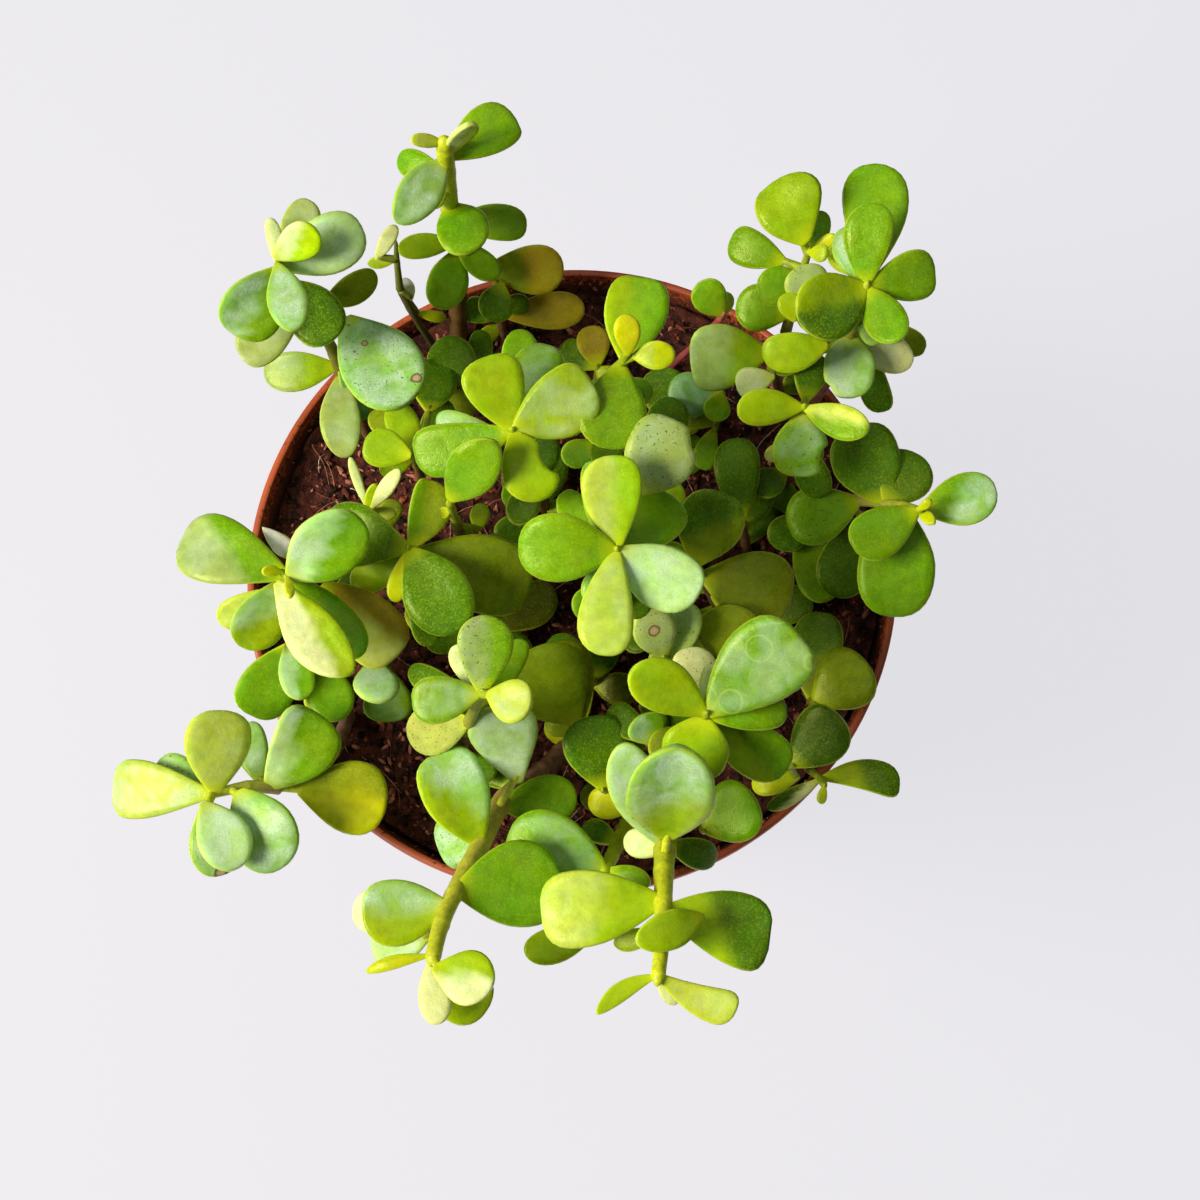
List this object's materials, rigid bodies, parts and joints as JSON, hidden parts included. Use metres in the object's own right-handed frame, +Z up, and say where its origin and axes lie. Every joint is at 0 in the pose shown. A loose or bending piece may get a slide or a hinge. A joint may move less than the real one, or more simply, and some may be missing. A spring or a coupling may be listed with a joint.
{
  "type": "potted jade plant",
  "caption": "Small-leaved jade plant: clustered fleshy-leaved cuttings in dark coir soil, in a round tapered plastic nursery pot with a collar rim.",
  "frame": {"origin": "middle of the pot's flat underside, on the table", "axes": "+Z up along the pot's axis, +Y towards the top edge of the picture, +X towards its right edge"},
  "size_m": [0.156, 0.1497, 0.17],
  "materials": {
    "pot_plastic": "satin",
    "coir_soil": "matte",
    "stem_bark": "matte",
    "leaf_green": "satin"
  },
  "bodies": {
    "root": {"pot": "pot_plastic", "soil": "coir_soil", "stem_northwest_tall": "stem_bark", "stem_northwest_rosette": "stem_bark", "stem_southwest_low": "stem_bark", "stem_south_arm": "stem_bark", "stem_south_tip": "stem_bark", "stem_south_second": "stem_bark", "stem_east_arm": "stem_bark", "stem_northeast_tall": "stem_bark", "stem_northeast_back": "stem_bark", "stem_north_red": "stem_bark", "sprig_northwest_tall": "leaf_green", "sprig_north_low": "leaf_green", "sprig_north_thin": "leaf_green", "sprig_northwest_rosette": "leaf_green", "sprig_west_rosette": "leaf_green", "sprig_west_low": "leaf_green", "sprig_southwest_pale": "leaf_green", "sprig_west_node": "leaf_green", "sprig_west_sprout": "leaf_green", "sprig_southwest_low": "leaf_green", "sprig_south_arm": "leaf_green", "sprig_south_tip": "leaf_green", "sprig_south_second": "leaf_green", "sprig_south_heart": "leaf_green", "sprig_centre_low": "leaf_green", "sprig_southeast_top": "leaf_green", "sprig_southeast_low": "leaf_green", "sprig_east_dark": "leaf_green", "sprig_east_olive": "leaf_green", "sprig_east_sprout": "leaf_green", "sprig_east_arm": "leaf_green", "sprig_northeast_tall": "leaf_green", "sprig_northeast_back": "leaf_green", "sprig_north_red": "leaf_green", "sprig_east_fork": "leaf_green", "sprig_northeast_pale": "leaf_green", "sprig_east_blue": "leaf_green", "sprig_east_deep": "leaf_green", "sprig_north_node": "leaf_green", "sprig_middle_round": "leaf_green", "sprig_middle_cross": "leaf_green", "sprig_north_pair": "leaf_green", "sprig_middle_left": "leaf_green", "sprig_north_leafy": "leaf_green", "sprig_south_node": "leaf_green", "sprig_south_olive": "leaf_green", "sprig_east_pair": "leaf_green", "sprig_southeast_olive": "leaf_green", "sprig_middle_scarred": "leaf_green", "sprig_undergrowth": "leaf_green", "sprig_north_gap": "leaf_green", "sprig_north_shade": "leaf_green", "sprig_middle_shade": "leaf_green", "sprig_west_shade": "leaf_green", "sprig_south_shade": "leaf_green", "sprig_east_middle": "leaf_green", "sprig_east_shade": "leaf_green"}
  },
  "joints": []
}
